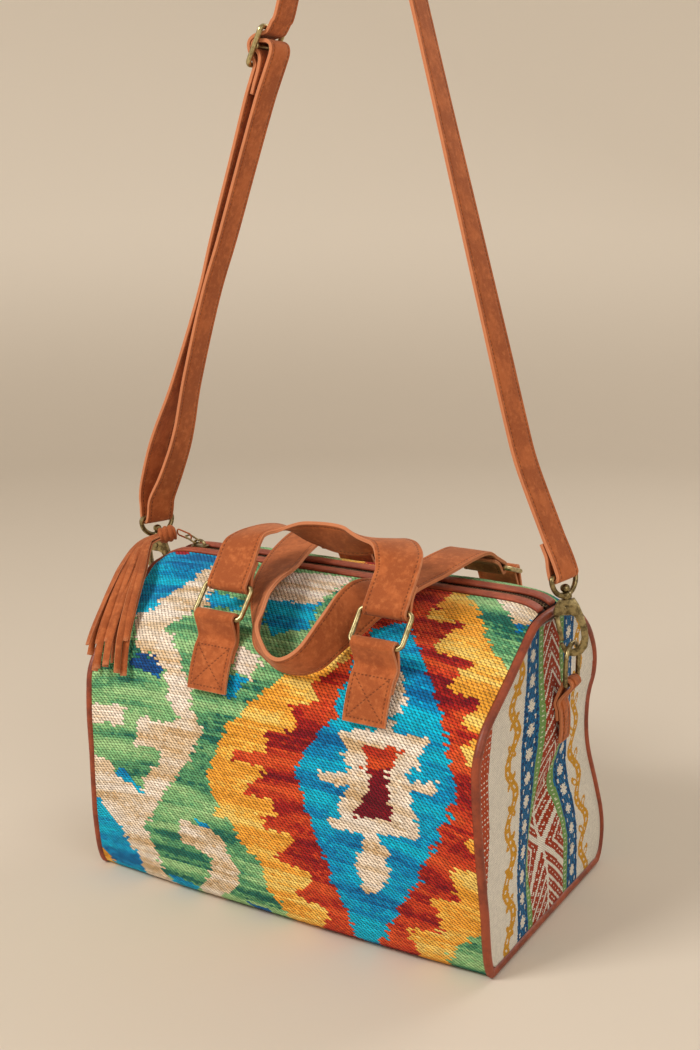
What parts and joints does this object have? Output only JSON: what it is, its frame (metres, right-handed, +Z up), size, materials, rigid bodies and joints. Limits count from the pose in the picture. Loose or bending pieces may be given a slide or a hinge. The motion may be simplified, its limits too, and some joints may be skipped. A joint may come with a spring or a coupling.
{
  "type": "boston bag",
  "caption": "Woven boston bag with leather piping, zip top with tassel, rolled ring handles, and a long adjustable shoulder strap on swivel snap hooks.",
  "frame": {"origin": "centre of the flat base on the floor", "axes": "+Z up, +X to the wearer's right along the bag's length as seen from the front, +Y to the rear; the front face with its tassel corner looks along -Y"},
  "size_m": [0.3961, 0.2691, 0.7388],
  "materials": {
    "kilim": "heavy woven slub cotton, matt",
    "dobby": "woven cotton with raised bands, matt",
    "piping_leather": "smooth red-brown leather",
    "antique_brass": "dark antique brass",
    "suede": "tan suede with a soft nap",
    "trim_leather": "smooth red-brown leather",
    "zip_cloth": "dark woven tape",
    "pale_brass": "worn pale brass"
  },
  "bodies": {
    "bag": {"main_panel": "kilim", "left_gusset": "dobby", "right_gusset": "dobby", "left_piping": "piping_leather", "right_piping": "piping_leather", "front_zip_trim": "trim_leather", "rear_zip_trim": "trim_leather", "front_zip_tape": "zip_cloth", "rear_zip_tape": "zip_cloth", "front_left_tab": "suede", "front_right_tab": "suede", "rear_left_tab": "suede", "rear_right_tab": "suede", "left_d_tab": "suede", "right_d_tab": "suede"},
    "zip_slider_body": {"zip_slider": "antique_brass"},
    "zip_pull_body": {"zip_pull": "antique_brass"},
    "tassel": {"tassel_lace": "suede", "tassel_cap": "suede", "tassel_fringe": "suede"},
    "front_rings": {"front_left_ring": "pale_brass", "front_right_ring": "pale_brass"},
    "front_handle_body": {"front_handle": "suede"},
    "rear_rings": {"rear_left_ring": "pale_brass", "rear_right_ring": "pale_brass"},
    "rear_handle_body": {"rear_handle": "suede"},
    "left_d": {"left_d_ring": "antique_brass"},
    "right_d": {"right_d_ring": "antique_brass"},
    "strap": {"shoulder_strap": "suede", "strap_slider": "pale_brass", "left_swivel_eye": "antique_brass", "right_swivel_eye": "antique_brass"},
    "left_hook_body": {"left_hook": "antique_brass", "left_gate_pin": "antique_brass"},
    "right_hook_body": {"right_hook": "antique_brass", "right_gate_pin": "antique_brass"},
    "left_gate_body": {"left_gate": "antique_brass"},
    "right_gate_body": {"right_gate": "antique_brass"}
  },
  "joints": [
    {"name": "zip_slide", "type": "slide", "parent": "bag", "child": "zip_slider_body", "axis": [1, 0, 0], "range_m": [0, 0.06]},
    {"name": "zip_pull_lift", "type": "hinge", "parent": "zip_slider_body", "child": "zip_pull_body", "pos_m": [-0.1456, 0, 0.2522], "axis": [0, 1, 0], "range_deg": [0, 30]},
    {"name": "tassel_lift", "type": "hinge", "parent": "zip_pull_body", "child": "tassel", "pos_m": [-0.155, -0.002, 0.2575], "axis": [0, 1, 0], "range_deg": [0, 25], "deforming": ["tassel_fringe"]},
    {"name": "front_ring_turn", "type": "hinge", "parent": "bag", "child": "front_rings", "pos_m": [0, -0.1095, 0.231], "axis": [1, 0, 0], "range_deg": [0, 30]},
    {"name": "front_handle_turn", "type": "hinge", "parent": "front_rings", "child": "front_handle_body", "pos_m": [0, -0.09195, 0.25152], "axis": [1, 0, 0], "range_deg": [0, 25]},
    {"name": "rear_ring_turn", "type": "hinge", "parent": "bag", "child": "rear_rings", "pos_m": [0, 0.093, 0.24], "axis": [1, 0, 0], "range_deg": [-3, 0]},
    {"name": "rear_handle_turn", "type": "hinge", "parent": "rear_rings", "child": "rear_handle_body", "pos_m": [0, 0.06733, 0.24838], "axis": [1, 0, 0], "range_deg": [-2, 0]},
    {"name": "left_d_ring_turn", "type": "hinge", "parent": "bag", "child": "left_d", "pos_m": [-0.1865, 0, 0.1893], "axis": [0, 1, 0], "range_deg": [-2, 2]},
    {"name": "right_d_ring_turn", "type": "hinge", "parent": "bag", "child": "right_d", "pos_m": [0.1865, 0, 0.1893], "axis": [0, 1, 0], "range_deg": [-2, 2]},
    {"name": "strap_swing", "type": "hinge", "parent": "bag", "child": "strap", "pos_m": [0, 0, 0.2073], "axis": [1, 0, 0], "range_deg": [-60, 60]},
    {"name": "left_hook_swivel", "type": "hinge", "parent": "strap", "child": "left_hook_body", "pos_m": [-0.18608, 0, 0.20961], "axis": [-0.0436, 0, 0.999], "range_deg": [-25, 15]},
    {"name": "right_hook_swivel", "type": "hinge", "parent": "strap", "child": "right_hook_body", "pos_m": [0.18827, 0, 0.20976], "axis": [-0.1822, 0, 0.9833], "range_deg": [0, 12]},
    {"name": "left_gate_press", "type": "hinge", "parent": "left_hook_body", "child": "left_gate_body", "pos_m": [-0.1886, -0.00021, 0.24503], "axis": [-0.2077, 0.9781, -0.0091], "range_deg": [-9, 0], "stiffness_Nm_per_rad": 0.02, "springref_deg": 20.05},
    {"name": "right_gate_press", "type": "hinge", "parent": "right_hook_body", "child": "right_gate_body", "pos_m": [0.18091, -0.00044, 0.2445], "axis": [-0.431, 0.8988, -0.0799], "range_deg": [-9, 0], "stiffness_Nm_per_rad": 0.02, "springref_deg": 20.05}
  ]
}
